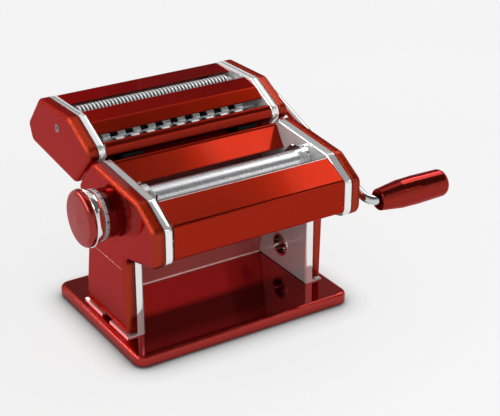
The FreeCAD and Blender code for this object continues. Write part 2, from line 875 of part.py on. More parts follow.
# Roller with a row of cutting discs; a driven one runs on to the crank socket
def cutter_roller(place, pitch, is_second, is_driven):
    disc = pitch / 2 - disc_side_gap
    profile = [(-bush_end, 0), (-bush_end, cutter_journal), (-roller_end, cutter_journal),
               (-roller_end, core_radius)]
    for left in disc_starts(pitch, is_second):
        right = left + disc
        profile += [(left, core_radius), (left, disc_radius), (right, disc_radius), (right, core_radius)]
    profile += [(roller_end, core_radius), (roller_end, cutter_journal)]
    if is_driven:
        profile += [(journal_end, cutter_journal), (journal_end, socket_radius),
                    (journal_end - socket_depth, socket_radius), (journal_end - socket_depth, 0)]
    else:
        profile += [(cutter_gear_end, cutter_journal), (cutter_gear_end, 0)]
    return turned(profile, place)


def cutter_gear(place, mate, half_step):
    facing = math.degrees(math.atan2(mate[1] - place[1], mate[0] - place[0]))
    phase = facing + half_step * 180.0 / cutter_gear_teeth
    return gear_wheel(place, cutter_gear_teeth, cutter_spacing, cutter_tooth_reach, cutter_root_gap,
                      cutter_tooth_share, cutter_journal, phase, cutter_gear_x, cutter_gear_width)


# Comb under a cutter roller with a finger in each groove
def comb(place, pitch, is_second):
    disc = pitch / 2 - disc_side_gap
    tip = place[1] - core_radius - comb_gap
    top = place[1] - disc_radius - comb_gap
    low = top - comb_bar
    y = place[0] - comb_sheet / 2
    outline = [(-inner_x, low), (-inner_x, top)]
    for left in disc_starts(pitch, is_second)[:-1]:
        start = left + disc + comb_gap
        end = left + pitch - comb_gap
        outline += [(start, top), (start, tip), (end, tip), (end, top)]
    outline += [(inner_x, top), (inner_x, low)]
    points = [FreeCAD.Vector(x, y, z) for x, z in outline]
    face = Part.Face(Part.makePolygon(points + [points[0]]))
    return face.extrude(FreeCAD.Vector(0, comb_sheet, 0))


def comb_pair(first, second, pitch):
    return Part.makeCompound([comb(first, pitch, False), comb(second, pitch, True)])


def cutter_fold(path, bend, side):
    return folded_sheet(path, cutter_sheet, bend, inner_x - sheet_end_gap, side)


# Block lying on the rear slope, from ranges across, down and out
def slope_block(x_middle, width, down_start, down_end, out_start, out_end):
    corners = [(on_slope(down_start, out_start), 0), (on_slope(down_end, out_start), 0),
               (on_slope(down_end, out_end), 0), (on_slope(down_start, out_end), 0)]
    return prism(side_face(corners), x_middle - width / 2, x_middle + width / 2)


# T rails on the body that the cutter slides down onto
def cutter_rails():
    seat = sheet - feed_setback
    neck = rail_height - rail_head_depth
    rails = []
    for x in (-rail_spread / 2, rail_spread / 2):
        stem = slope_block(x, rail_stem, rail_start, rail_end, seat, neck)
        head = slope_block(x, rail_head, rail_start, rail_end, neck, rail_height)
        rails.append(stem.fuse(head).removeSplitter())
    return Part.makeCompound(rails)


# Shoes on the cutter, slotted for the rails and closed at the top end
def cutter_shoes():
    under_head = rail_height - rail_head_depth - rail_play
    over_head = rail_height + rail_play
    stop = rail_start - rail_play
    shoes = []
    for x in (-rail_spread / 2, rail_spread / 2):
        shoe = slope_block(x, shoe_width, shoe_start, shoe_end, under_head - shoe_wall,
                           trough_stand_off - cutter_sheet)
        head = slope_block(x, rail_head + 2 * rail_play, stop, shoe_end, under_head, over_head)
        stem = slope_block(x, rail_stem + 2 * rail_play, stop, shoe_end, under_head - shoe_wall, over_head)
        shoes.append(shoe.cut(head).cut(stem))
    return Part.makeCompound(shoes)


def cutter_rear_sheet():
    path = [stepped(fine_rear_axis, step) for step in rear_sheet_steps]
    return cutter_fold(path, sheet_bend, 1)


def cutter_middle_sheet():
    path = [polar(fine_axis, disc_radius + middle_fine_gap, middle_fine_turn),
            stepped(fine_axis, middle_crest_step), stepped(wide_axis, middle_fold_step),
            stepped(wide_front_axis, middle_low_step)]
    return cutter_fold(path, sheet_bend, 1)


# Guttered front of the cutter; its lower part lies along the body's rear slope
def cutter_trough():
    path = [polar(wide_front_axis, disc_radius + trough_rim_gap, trough_rim_turn),
            stepped(wide_front_axis, trough_crest_step), stepped(wide_front_axis, trough_brow_step),
            on_slope(trough_fold_down, trough_stand_off),
            on_slope(trough_fold_down + trough_slope, trough_stand_off)]
    return cutter_fold(path, trough_bend, 1)


# Bent crank with a turned-down tip for the sockets and a straight spindle for the grip
def crank_rod():
    shoulder = journal_end + crank_tip_gap
    tip = rod(fine_axis, crank_tip_radius, journal_end - socket_depth + crank_tip_gap, shoulder)
    spindle_end = grip_start + grip_length - grip_end_wall - crank_tip_gap
    points = [(vec(shoulder, fine_axis), 0), (vec(crank_arm_x, fine_axis), crank_bend),
              (vec(crank_arm_x, crank_elbow), crank_bend), (vec(spindle_end, crank_elbow), 0)]
    path = rounded_path(points, False)
    section = Part.Wire(Part.makeCircle(crank_radius, vec(shoulder, fine_axis), FreeCAD.Vector(1, 0, 0)))
    bent = path.makePipeShell([section], True, False)
    return bent.fuse(tip).removeSplitter()


# Turned grip with a cupped inner end, a crease and a rounded outer end
def crank_grip():
    end = grip_start + grip_length
    cup = grip_start + grip_cup_depth
    bore = crank_radius + grip_play
    profile = [(cup, bore), (cup, grip_cup), (grip_start, grip_cup), (grip_start, grip_neck, grip_neck_round),
               (grip_start + grip_crease, grip_waist),
               (grip_start + grip_belly_share * grip_length, grip_belly),
               (end - grip_crown, grip_end, grip_end_round), (end, 0),
               (end - grip_end_wall, 0), (end - grip_end_wall, bore)]
    return turned(profile, crank_elbow)


def export(name, shape):
    shape.exportStep("parts/" + name + ".step")


os.makedirs("parts", exist_ok=True)
export("base_plate", base_plate())
export("rubber_feet", rubber_feet())
export("base_screws", base_screws())
right_plate = side_plate_right()
export("side_plate_left", mirrored(right_plate))
clamp_hole = rod(clamp_axis, clamp_bore + clamp_wall, inner_x, plate_x)
export("side_plate_right", right_plate.cut(clamp_hole))
export("side_cover_left", side_cover_left())
export("side_cover_right", side_cover_right())
export("front_cover", front_cover())
export("feed_plate", feed_plate())
export("back_panel", back_panel())
export("tie_rods", tie_rods())
export("tie_nuts", tie_nuts())
export("side_guide_right", side_guide_right())
export("side_guide_left", mirrored(side_guide_right()))
export("front_scraper", front_scraper())
export("drive_bush_right", bearing_bush(drive_axis, drive_journal, bush_wall, bush_flange))
export("drive_bush_left", mirrored(bearing_bush(drive_axis, drive_journal, bush_wall, bush_flange)))
export("drive_roller", drive_roller())
export("drive_gear", roller_gear(drive_axis, idle_axis, drive_journal, 0))
export("idle_roller", idle_roller())
export("idle_gear", roller_gear(idle_axis, drive_axis, idle_journal, 1))
export("roller_link_right", roller_link())
export("roller_link_left", roller_link_left())
export("link_tie_rod", link_tie_rod())
export("rear_scraper", rear_scraper())
export("adjuster_shaft", adjuster_shaft())
export("dial_collar", dial_collar())
export("dial_ring", dial_ring())
export("knob_skirt", knob_skirt())
export("knob_cap", knob_cap())
export("clamp_socket", clamp_socket())
export("knob_pin", knob_pin())
export("knob_spring", knob_spring())
export("cutter_plate_right", cutter_plate())
export("cutter_plate_left", mirrored(cutter_plate()))
export("cutter_cap_right", cutter_cap_right())
export("cutter_cap_left", cutter_cap_left())
export("cap_screw", cap_screw())
export("cutter_bushes", cutter_bushes())
export("cutter_tie_rods", cutter_tie_rods())
export("cutter_rear_sheet", cutter_rear_sheet())
export("cutter_middle_sheet", cutter_middle_sheet())
export("cutter_trough", cutter_trough())
export("cutter_rails", cutter_rails())
export("cutter_shoes", cutter_shoes())
export("fine_combs", comb_pair(fine_axis, fine_rear_axis, fine_pitch))
export("wide_combs", comb_pair(wide_axis, wide_front_axis, wide_pitch))
export("fine_cutter_front", cutter_roller(fine_axis, fine_pitch, False, True))
export("fine_cutter_rear", cutter_roller(fine_rear_axis, fine_pitch, True, False))
export("wide_cutter_rear", cutter_roller(wide_axis, wide_pitch, False, True))
export("wide_cutter_front", cutter_roller(wide_front_axis, wide_pitch, True, False))
export("fine_gear_front", cutter_gear(fine_axis, fine_rear_axis, 0))
export("fine_gear_rear", cutter_gear(fine_rear_axis, fine_axis, 1))
export("wide_gear_rear", cutter_gear(wide_axis, wide_front_axis, 0))
export("wide_gear_front", cutter_gear(wide_front_axis, wide_axis, 1))
export("crank_rod", crank_rod())
export("crank_grip", crank_grip())
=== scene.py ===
import math

import bpy
from mathutils import Matrix, Vector


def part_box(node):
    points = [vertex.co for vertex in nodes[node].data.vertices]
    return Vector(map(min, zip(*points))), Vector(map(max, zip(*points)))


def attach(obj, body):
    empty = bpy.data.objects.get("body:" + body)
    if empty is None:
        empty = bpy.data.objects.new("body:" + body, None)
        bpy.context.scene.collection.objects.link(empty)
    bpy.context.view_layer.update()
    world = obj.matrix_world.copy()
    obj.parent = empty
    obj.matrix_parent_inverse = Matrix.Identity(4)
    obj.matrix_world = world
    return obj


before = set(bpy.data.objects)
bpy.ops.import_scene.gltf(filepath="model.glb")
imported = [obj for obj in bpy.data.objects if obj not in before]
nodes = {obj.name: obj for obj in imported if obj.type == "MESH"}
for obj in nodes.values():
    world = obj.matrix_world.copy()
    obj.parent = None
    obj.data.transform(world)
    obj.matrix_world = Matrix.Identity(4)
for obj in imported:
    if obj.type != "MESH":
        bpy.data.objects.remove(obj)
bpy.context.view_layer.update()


# Base tray: a shallow pan of pressed steel sheet with rounded corners, which carries both legs.
# It has clear red lacquer over a metallic ground, and the legs are screwed on from below.
def new_finish(name):
    finish = bpy.data.materials.new(name)
    finish.use_nodes = True
    return finish, finish.node_tree, finish.node_tree.nodes["Principled BSDF"]


def noise(tree, scale, detail, stretch=(1, 1, 1)):
    place = tree.nodes.new("ShaderNodeTexCoord")
    mapping = tree.nodes.new("ShaderNodeMapping")
    mapping.inputs["Scale"].default_value = stretch
    pattern = tree.nodes.new("ShaderNodeTexNoise")
    pattern.inputs["Scale"].default_value = scale
    pattern.inputs["Detail"].default_value = detail
    tree.links.new(place.outputs["Object"], mapping.inputs["Vector"])
    tree.links.new(mapping.outputs["Vector"], pattern.inputs["Vector"])
    return pattern.outputs["Fac"]


# Carries a value from one range over to another and stops at both ends
def spread(tree, value, start, end, low=0.0, high=1.0):
    change = tree.nodes.new("ShaderNodeMapRange")
    change.inputs["From Min"].default_value = start
    change.inputs["From Max"].default_value = end
    change.inputs["To Min"].default_value = low
    change.inputs["To Max"].default_value = high
    tree.links.new(value, change.inputs["Value"])
    return change.outputs["Result"]


# Noise keeps mostly between these two values, so a finish varies over that part of it
noise_low = 0.3
noise_high = 0.7


def vary(tree, pattern, socket, low, high):
    tree.links.new(spread(tree, pattern, noise_low, noise_high, low, high), socket)


def tint(tree, pattern, socket, dark, light, dark_at=0.35, light_at=0.65):
    ramp = tree.nodes.new("ShaderNodeValToRGB")
    first, last = ramp.color_ramp.elements
    first.position = dark_at
    first.color = (*dark, 1)
    last.position = light_at
    last.color = (*light, 1)
    tree.links.new(pattern, ramp.inputs["Fac"])
    tree.links.new(ramp.outputs["Color"], socket)


def roughen(tree, shader, pattern, strength, height):
    bump = tree.nodes.new("ShaderNodeBump")
    bump.inputs["Strength"].default_value = strength
    bump.inputs["Distance"].default_value = height
    tree.links.new(pattern, bump.inputs["Height"])
    tree.links.new(bump.outputs["Normal"], shader.inputs["Normal"])
    return bump


# Paint draws back from an edge, so that each one catches the light as a wider round
def soften(tree, bump, radius):
    edge = tree.nodes.new("ShaderNodeBevel")
    edge.samples = 6
    edge.inputs["Radius"].default_value = radius
    tree.links.new(edge.outputs["Normal"], bump.inputs["Normal"])


def dress(finish, *names):
    for name in names:
        data = nodes[name].data
        data.materials.clear()
        data.materials.append(finish)


# Clear red lacquer over bright flakes: the ground sparkles a little and the lacquer is slightly wavy
def candy_paint(name, deep, bright, smooth, dull, gloss, edge, metal=1.0):
    finish, tree, shader = new_finish(name)
    flakes = noise(tree, scale=2600, detail=2)
    haze = noise(tree, scale=30, detail=4)
    waves = noise(tree, scale=420, detail=1)
    tint(tree, flakes, shader.inputs["Base Color"], deep, bright)
    vary(tree, haze, shader.inputs["Roughness"], smooth, dull)
    soften(tree, roughen(tree, shader, waves, strength=0.05, height=0.0002), edge)
    shader.inputs["Metallic"].default_value = metal
    shader.inputs["Specular Tint"].default_value = (0.8, 0.2, 0.14, 1)
    shader.inputs["Coat Weight"].default_value = gloss
    shader.inputs["Coat Roughness"].default_value = 0.03
    shader.inputs["Coat IOR"].default_value = 1.5
    return finish


tray_paint = candy_paint(
    "tray_paint", deep=(0.33, 0.014, 0.009), bright=(0.4, 0.019, 0.012),
    smooth=0.05, dull=0.09, gloss=0.5, edge=0.003, metal=0.96,
)
dress(tray_paint, "base_plate")
tray_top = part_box("base_plate")[1][2]


# Feet: four buttons that keep the tray off the table and stop it from sliding.
# They are moulded in black rubber, matt and a little dusty, and pressed up under the tray.
def plain_finish(name, grain, detail, dark, light, dull):
    finish, tree, shader = new_finish(name)
    tint(tree, noise(tree, grain, detail), shader.inputs["Base Color"], dark, light)
    shader.inputs["Roughness"].default_value = dull
    return finish, tree, shader


rubber_and_gap_shade, tree, shader = plain_finish(
    "foot_rubber", grain=300, detail=5, dark=(0.012, 0.012, 0.013), light=(0.03, 0.03, 0.031), dull=0.8,
)
roughen(tree, shader, noise(tree, scale=900, detail=3), strength=0.3, height=0.0004)
dress(rubber_and_gap_shade, "rubber_feet")


# Screws, tie rods and nuts: they hold the plates to the tray and to each other.
# They are steel, turned or cold-headed and plated with zinc, with fine marks along them.
def plain_steel(name, dark, light, stretch):
    finish, tree, shader = new_finish(name)
    stain = noise(tree, scale=180, detail=6, stretch=stretch)
    wear = noise(tree, scale=260, detail=4, stretch=stretch)
    tint(tree, stain, shader.inputs["Base Color"], dark, light)
    vary(tree, wear, shader.inputs["Roughness"], low=0.24, high=0.42)
    shader.inputs["Metallic"].default_value = 1.0
    return finish


zinc = plain_steel("zinc_plate", dark=(0.42, 0.43, 0.45), light=(0.6, 0.6, 0.62), stretch=(1, 4, 4))
dress(zinc, "base_screws", "tie_rods", "tie_nuts", "cutter_tie_rods")


# Side plates: steel sheet with the edge turned outwards all round, polished and chromed.
# The two large ones carry the rollers and stand on the tray as legs.
# The cutter's two smaller plates are made the same way.
def grey(level):
    return (level, level, level)


def chrome_plate(name, dark, light, smooth, dull, wavy=True):
    finish, tree, shader = new_finish(name)
    cloud = noise(tree, scale=12, detail=3)
    haze = noise(tree, scale=45, detail=5)
    tint(tree, cloud, shader.inputs["Base Color"], grey(dark), grey(light))
    vary(tree, haze, shader.inputs["Roughness"], smooth, dull)
    if wavy:
        waves = noise(tree, scale=60, detail=2)
        roughen(tree, shader, waves, strength=0.03, height=0.0004)
    shader.inputs["Metallic"].default_value = 1.0
    return finish


def insides(finish):
    return finish.node_tree, finish.node_tree.nodes["Principled BSDF"]


# One coordinate of a point, or of the way that its face looks
def along(tree, kind, axis):
    place = tree.nodes.new("ShaderNodeTexCoord")
    parts = tree.nodes.new("ShaderNodeSeparateXYZ")
    tree.links.new(place.outputs[kind], parts.inputs["Vector"])
    return parts.outputs[axis]


# A sum on one or two values, the second of which may be a plain number
def reckon(tree, operation, first, second=None):
    step = tree.nodes.new("ShaderNodeMath")
    step.operation = operation
    tree.links.new(first, step.inputs[0])
    if isinstance(second, float):
        step.inputs[1].default_value = second
    elif second is not None:
        tree.links.new(second, step.inputs[1])
    return step.outputs["Value"]


# A slow bend of the surface: the height falls with the distance of X from a middle line
def crown(finish, middle_x, half_width, rise):
    tree, shader = insides(finish)
    offset = spread(tree, along(tree, "Object", "X"), middle_x - half_width, middle_x + half_width, -1, 1)
    bend = roughen(tree, shader, reckon(tree, "MULTIPLY", offset, offset), strength=1.0, height=rise)
    bend.invert = True


# The flat faces of a plate stay satin and its turned edge is polished further
def satin_inside(finish, flat, edge, edge_ends=0.8, flat_starts=0.95):
    tree, shader = insides(finish)
    sideways = reckon(tree, "ABSOLUTE", along(tree, "Normal", "X"))
    polish = spread(tree, sideways, edge_ends, flat_starts, edge, flat)
    tree.links.new(polish, shader.inputs["Metallic"])


for name in ("side_plate_left", "side_plate_right", "cutter_plate_left", "cutter_plate_right"):
    low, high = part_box(name)
    strip_chrome = chrome_plate(name + "_chrome", dark=0.84, light=0.91, smooth=0.05, dull=0.1, wavy=False)
    satin_inside(strip_chrome, flat=0.32, edge=0.72)
    crown(strip_chrome, middle_x=(low[0] + high[0]) / 2, half_width=(high[0] - low[0]) / 2, rise=0.0009)
    dress(strip_chrome, name)


# Side covers and cutter caps: dishes that close the body and the cutter at both ends.
# They are deep-drawn from thin sheet with a full round edge and have the same red lacquer, a little duller.
cover_paint = candy_paint(
    "cover_paint", deep=(0.3, 0.022, 0.006), bright=(0.38, 0.03, 0.01),
    smooth=0.2, dull=0.26, gloss=0.22, edge=0.007,
)
dress(cover_paint, "side_cover_left", "side_cover_right", "cutter_cap_left", "cutter_cap_right")


# Front cover and feed plate: the two folded sheets of the body on both sides of the rollers.
# They are bent from thin steel, painted, and held between the side plates.
sheet_deep = (0.28, 0.012, 0.003)
sheet_bright = (0.36, 0.018, 0.005)
sheet_paint = candy_paint(
    "sheet_paint", sheet_deep, sheet_bright, smooth=0.12, dull=0.16, gloss=0.08, edge=0.0015,
)
dress(sheet_paint, "front_cover", "feed_plate")


# Back panel: a sheet behind the legs, folded at the waist and fixed to both plates.
# Its front is pale red low down and painted darker higher up, a painted shade for the shade under the body.
# Its rear is red like the other sheets.
def colour_mix(tree, share):
    mix = tree.nodes.new("ShaderNodeMix")
    mix.data_type = "RGBA"
    tree.links.new(share, mix.inputs["Factor"])
    return mix


# The painted shade begins at a level, within a fade, and grows lighter from dark over a rise above it
def primed_above(finish, level, dark, light, fade=0.003, rise_start=0.006, rise_end=0.046):
    tree, shader = insides(finish)
    paint = shader.inputs["Base Color"].links[0].from_socket
    height = along(tree, "Object", "Z")
    painted_shade = colour_mix(tree, spread(tree, height, level - fade, level + fade))
    rise = spread(tree, height, level + rise_start, level + rise_end)
    tint(tree, rise, painted_shade.inputs["B"], dark, light)
    tree.links.new(paint, painted_shade.inputs["A"])
    tree.links.new(painted_shade.outputs["Result"], shader.inputs["Base Color"])


# The two sides of a sheet can differ: the normal tells which way a face looks
def two_sided(finish, outward, inside, edge=0.05):
    tree, shader = insides(finish)
    paint = shader.inputs["Base Color"].links[0].from_socket
    place = tree.nodes.new("ShaderNodeTexCoord")
    side = tree.nodes.new("ShaderNodeVectorMath")
    side.operation = "DOT_PRODUCT"
    side.inputs[1].default_value = outward
    tree.links.new(place.outputs["Normal"], side.inputs[0])
    # The inner side takes its own colour: the rear paint on the panel, and painted shade on the cutter's
    # sheets
    inner_face_colour = colour_mix(tree, spread(tree, side.outputs["Value"], -edge, edge))
    inner_face_colour.inputs["A"].default_value = (*inside, 1)
    tree.links.new(paint, inner_face_colour.inputs["B"])
    tree.links.new(inner_face_colour.outputs["Result"], shader.inputs["Base Color"])


panel_shade_start = 0.039
panel_paint = candy_paint(
    "panel_paint", deep=(0.58, 0.135, 0.125), bright=(0.66, 0.155, 0.145),
    smooth=0.2, dull=0.26, gloss=1.0, edge=0.002, metal=0.55,
)
# Painted shade: the panel's front goes dark above this level, for the shade under the body
primed_above(panel_paint, panel_shade_start, dark=(0.08, 0.018, 0.015), light=(0.3, 0.09, 0.08))
two_sided(panel_paint, outward=(0, -1, 0), inside=sheet_bright)
dress(panel_paint, "back_panel")


# Beads: the fold along the panel's foot, the hem on the front cover's upper edge and the fold line across
# both covers, in pale paint that is a painted highlight along each line, and a dark line along the feet of
# the plates, painted shade in the gap there.
# Each is a thin rounded line on the sheet or plate that carries it, and thins out at both ends.
bead_taper = [(0.0, 0.3), (0.002, 0.8), (0.006, 1.0)]
scene = bpy.context.scene


def bead(name, start, end, thickness, finish):
    line = bpy.data.curves.new(name, "CURVE")
    line.dimensions = "3D"
    line.bevel_depth = thickness / 2
    line.bevel_resolution = 3
    line.use_fill_caps = True
    run = line.splines.new("POLY")
    steps = bead_taper + [(1 - share, width) for share, width in reversed(bead_taper)]
    run.points.add(len(steps) - 1)
    for point, (share, width) in zip(run.points, steps):
        point.co = (*Vector(start).lerp(Vector(end), share), 1)
        point.radius = width
    line.materials.append(finish)
    piece = bpy.data.objects.new(name, line)
    scene.collection.objects.link(piece)
    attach(piece, "frame")


# Pale paint: a painted highlight along the panel's fold and the front cover's hem
fold_highlight_paint = candy_paint(
    "fold_highlight_paint", deep=(0.8, 0.54, 0.52), bright=(0.86, 0.6, 0.58),
    smooth=0.16, dull=0.22, gloss=1.0, edge=0.0004, metal=0.4,
)
front_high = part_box("front_cover")[1]
end_gap = 0.0003
bead_end = front_high[0] - end_gap
fold_thickness = 0.0017
fold_lift = 0.0007
fold_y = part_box("back_panel")[1][1] - fold_thickness
fold_z = tray_top + fold_lift
left_end = (-bead_end, fold_y, fold_z)
right_end = (bead_end, fold_y, fold_z)
bead("panel_fold", left_end, right_end, fold_thickness, fold_highlight_paint)
hem_thickness = 0.0014
hem_inset = 0.00025
hem_drop = 0.000545
hem_y = front_high[1] - hem_inset
hem_z = front_high[2] - hem_drop
left_end = (-bead_end, hem_y, hem_z)
right_end = (bead_end, hem_y, hem_z)
bead("front_hem", left_end, right_end, hem_thickness, fold_highlight_paint)

# Paler red paint: a painted highlight along the covers' fold line
crease_highlight_paint = candy_paint(
    "crease_highlight_paint", deep=(0.6, 0.16, 0.13), bright=(0.68, 0.2, 0.17),
    smooth=0.16, dull=0.22, gloss=0.6, edge=0.0004, metal=0.5,
)
line_thickness = 0.0009
crease_depth = 0.0001
crease_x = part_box("side_cover_right")[1][0] - crease_depth
crease_front = -0.0395
crease_rear = 0.019
crease_z = 0.0732
gap_shade_stand_off = 0.0002
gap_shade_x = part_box("side_plate_right")[0][0] - gap_shade_stand_off
gap_shade_front = -0.0425
gap_shade_rear = 0.0308
gap_shade_z = tray_top + gap_shade_stand_off
for name, side in (("left", -1), ("right", 1)):
    front = (crease_x * side, crease_front, crease_z)
    rear = (crease_x * side, crease_rear, crease_z)
    bead("cover_fold_" + name, front, rear, line_thickness, crease_highlight_paint)
    # A dark line along each plate's foot in the feet's black rubber finish, painted shade in the gap
    # between plate and tray
    front = (gap_shade_x * side, gap_shade_front, gap_shade_z)
    rear = (gap_shade_x * side, gap_shade_rear, gap_shade_z)
    bead("foot_gap_shade_" + name, front, rear, line_thickness, rubber_and_gap_shade)


# Side guides, scrapers, links, combs and rails: the small works around the rollers and the cutters.
# They are bright steel pressings and turned rods, fixed between the plates or on the sheets.
bright_steel = chrome_plate("bright_steel", dark=0.73, light=0.81, smooth=0.14, dull=0.24)
dress(bright_steel, "side_guide_left", "side_guide_right", "front_scraper", "rear_scraper")
dress(bright_steel, "roller_link_left", "roller_link_right", "link_tie_rod", "adjuster_shaft")
dress(bright_steel, "fine_combs", "wide_combs", "cutter_rails")


# Bushes and shoes: the journals turn in the pale bushes, and the rails slide in the black shoes.
# Both are moulded nylon, the bushes pressed into the plates and the shoes fixed under the cutter.
nylon, tree, shader = plain_finish(
    "nylon", grain=120, detail=4, dark=(0.62, 0.6, 0.55), light=(0.7, 0.68, 0.63), dull=0.5,
)
shader.inputs["Subsurface Weight"].default_value = 0.1
dress(nylon, "drive_bush_left", "drive_bush_right", "cutter_bushes")
black_nylon, tree, shader = plain_finish(
    "black_nylon", grain=200, detail=4, dark=(0.005, 0.004, 0.004), light=(0.009, 0.008, 0.008), dull=0.7,
)
shader.inputs["Specular IOR Level"].default_value = 0.15
dress(black_nylon, "cutter_shoes")


# Smooth rollers: two bars that press the dough between them, with a journal at each end.
# They are aluminium, turned and polished, and the lathe leaves fine lines round them.
lathe_lines = (60, 1, 1)


def turned_metal(name, dark, light, smooth, dull):
    finish, tree, shader = new_finish(name)
    bands = noise(tree, scale=40, detail=6, stretch=lathe_lines)
    shine = noise(tree, scale=30, detail=5, stretch=lathe_lines)
    cuts = noise(tree, scale=70, detail=3, stretch=lathe_lines)
    tint(tree, bands, shader.inputs["Base Color"], dark, light)
    vary(tree, shine, shader.inputs["Roughness"], smooth, dull)
    roughen(tree, shader, cuts, strength=0.02, height=0.0002)
    shader.inputs["Metallic"].default_value = 1.0
    return finish


roller_metal = turned_metal(
    "roller_metal", dark=(0.78, 0.79, 0.8), light=(0.88, 0.88, 0.89), smooth=0.26, dull=0.34,
)
dress(roller_metal, "drive_roller", "idle_roller")


# Gears: wheels behind the right cover and the right cap that make each pair of rollers turn together.
# They are cut from steel and pressed on the journals.
gear_steel = plain_steel("gear_steel", dark=(0.3, 0.3, 0.31), light=(0.48, 0.48, 0.49), stretch=(6, 1, 1))
dress(gear_steel, "drive_gear", "idle_gear")
dress(gear_steel, "fine_gear_front", "fine_gear_rear", "wide_gear_front", "wide_gear_rear")


# Thickness knob: a dark red collar on the cover, a satin dial ring with marks, and the knob itself.
# The knob is a chromed skirt that widens outwards, with a domed red cap, and a spring and a pin inside.
# The dial's numbers are printed round the ring, one for each setting.
collar_paint = candy_paint(
    "collar_paint", deep=(0.13, 0.004, 0.003), bright=(0.18, 0.006, 0.004),
    smooth=0.14, dull=0.2, gloss=0.7, edge=0.001,
)
dress(collar_paint, "dial_collar")
skirt_chrome = chrome_plate("skirt_chrome", dark=0.73, light=0.81, smooth=0.06, dull=0.1, wavy=False)
low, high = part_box("knob_skirt")
crown(skirt_chrome, middle_x=high[0], half_width=high[0] - low[0], rise=0.004)
dress(skirt_chrome, "knob_skirt")
cap_lacquer = candy_paint(
    "cap_lacquer", deep=(0.27, 0.012, 0.005), bright=(0.34, 0.017, 0.008),
    smooth=0.2, dull=0.26, gloss=0.6, edge=0.002,
)
dress(cap_lacquer, "knob_cap")
dress(bright_steel, "knob_pin", "knob_spring")
dial_satin, tree, shader = plain_finish(
    "dial_satin", grain=500, detail=3, dark=(0.42, 0.42, 0.43), light=(0.5, 0.5, 0.51), dull=0.38,
)
shader.inputs["Metallic"].default_value = 0.35
dress(dial_satin, "dial_ring")

number_ink, tree, shader = plain_finish(
    "number_ink", grain=900, detail=3, dark=grey(0.006), light=grey(0.02), dull=0.6,
)
number_height = 0.0034
number_weight = 0.0001
number_relief = 0.00004
number_step = 18
first_number = 30
settings = 10
dial_low, dial_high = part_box("dial_ring")
dial_middle = (Vector(dial_low) + Vector(dial_high)) / 2
dial_radius = (dial_high[1] - dial_low[1]) / 2
upward = Vector((1, 0, 0))
for setting in range(settings):
    turn = math.radians(first_number + number_step * setting)
    outward = Vector((0, math.cos(turn), math.sin(turn)))
    text = bpy.data.curves.new(f"dial_number_{setting}", "FONT")
    text.body = str(setting)
    text.size = number_height
    text.align_x = "CENTER"
    text.align_y = "CENTER"
    text.extrude = number_relief
    text.offset = number_weight
    text.materials.append(number_ink)
    number = bpy.data.objects.new(text.name, text)
    scene.collection.objects.link(number)
    facing = Matrix((upward.cross(outward), upward, outward)).transposed()
    place = dial_middle + outward * (dial_radius + number_relief)
    number.matrix_world = Matrix.Translation(place) @ facing.to_4x4()
    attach(number, "frame")


# Clamp socket: the ring and sleeve low in the right leg that take the table clamp's end.
# It is turned steel, chromed, and pressed into the plate.
socket_chrome = chrome_plate("socket_chrome", dark=0.73, light=0.81, smooth=0.05, dull=0.1)
dress(socket_chrome, "clamp_socket")


# Cutter sheets: the rear sheet, the middle sheet and the trough that guide the dough past the cutters.
# They are bent and painted like the body's sheets, and their inner faces are painted near black, a painted
# shade for the dark inside of the cutter.
# The cutter's two plates hold them.
painted_inside_shade = (0.008, 0.004, 0.004)
outward_ways = {
    "cutter_rear_sheet": (0, 0.5, 0.866),
    "cutter_middle_sheet": (0, -0.2, 0.98),
    "cutter_trough": (0, -0.5, 0.866),
}
for name, outward in outward_ways.items():
    cutter_paint = candy_paint(
        name + "_paint", sheet_deep, sheet_bright, smooth=0.2, dull=0.26, gloss=0.15, edge=0.0015,
    )
    two_sided(cutter_paint, outward, painted_inside_shade)
    dress(cutter_paint, name)


# Cutter rollers: a fine pair and a wide pair, whose rows of discs run in each other's grooves.
# They are cut on a lathe from aluminium bars and run in the bushes of the cutter's plates.
# The disc tops are bright and the groove floors dark, a painted shade between the discs, and the plain ends
# past the rows are between the two.
groove_floor = 0.0062
groove_depth = 0.0022
groove_floor_painted_shade = 0.2
top_shade = 0.8
end_shade = 0.52
end_step = 0.0002


def grooved_metal(name, axis, row_end):
    finish, tree, shader = new_finish(name)
    place = tree.nodes.new("ShaderNodeTexCoord")
    around = tree.nodes.new("ShaderNodeMapping")
    around.inputs["Location"].default_value = (0, -axis.y, -axis.z)
    around.inputs["Scale"].default_value = (0, 1, 1)
    radius = tree.nodes.new("ShaderNodeVectorMath")
    radius.operation = "LENGTH"
    tree.links.new(place.outputs["Object"], around.inputs["Vector"])
    tree.links.new(around.outputs["Vector"], radius.inputs[0])
    disc_top = groove_floor + groove_depth
    # Darker towards the groove floors: painted shade between the discs
    painted_groove_shade = spread(tree, radius.outputs["Value"], groove_floor, disc_top, groove_floor_painted_shade, top_shade)
    sideways = reckon(tree, "ABSOLUTE", along(tree, "Object", "X"))
    plain_end = spread(tree, sideways, row_end - end_step, row_end + end_step, 0.0, end_shade)
    shade = reckon(tree, "MAXIMUM", painted_groove_shade, plain_end)
    tint(tree, shade, shader.inputs["Base Color"], dark=(0.03, 0.029, 0.028), light=grey(0.93))
    shine = noise(tree, scale=30, detail=5, stretch=lathe_lines)
    vary(tree, shine, shader.inputs["Roughness"], low=0.26, high=0.36)
    shader.inputs["Metallic"].default_value = 0.45
    return finish


row_ends = {"fine": 0.0735, "wide": 0.0645}
for width, row_end in row_ends.items():
    for place in ("front", "rear"):
        name = f"{width}_cutter_{place}"
        low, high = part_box(name)
        axis = (Vector(low) + Vector(high)) / 2
        dress(grooved_metal(f"{width}_{place}_metal", axis, row_end), name)


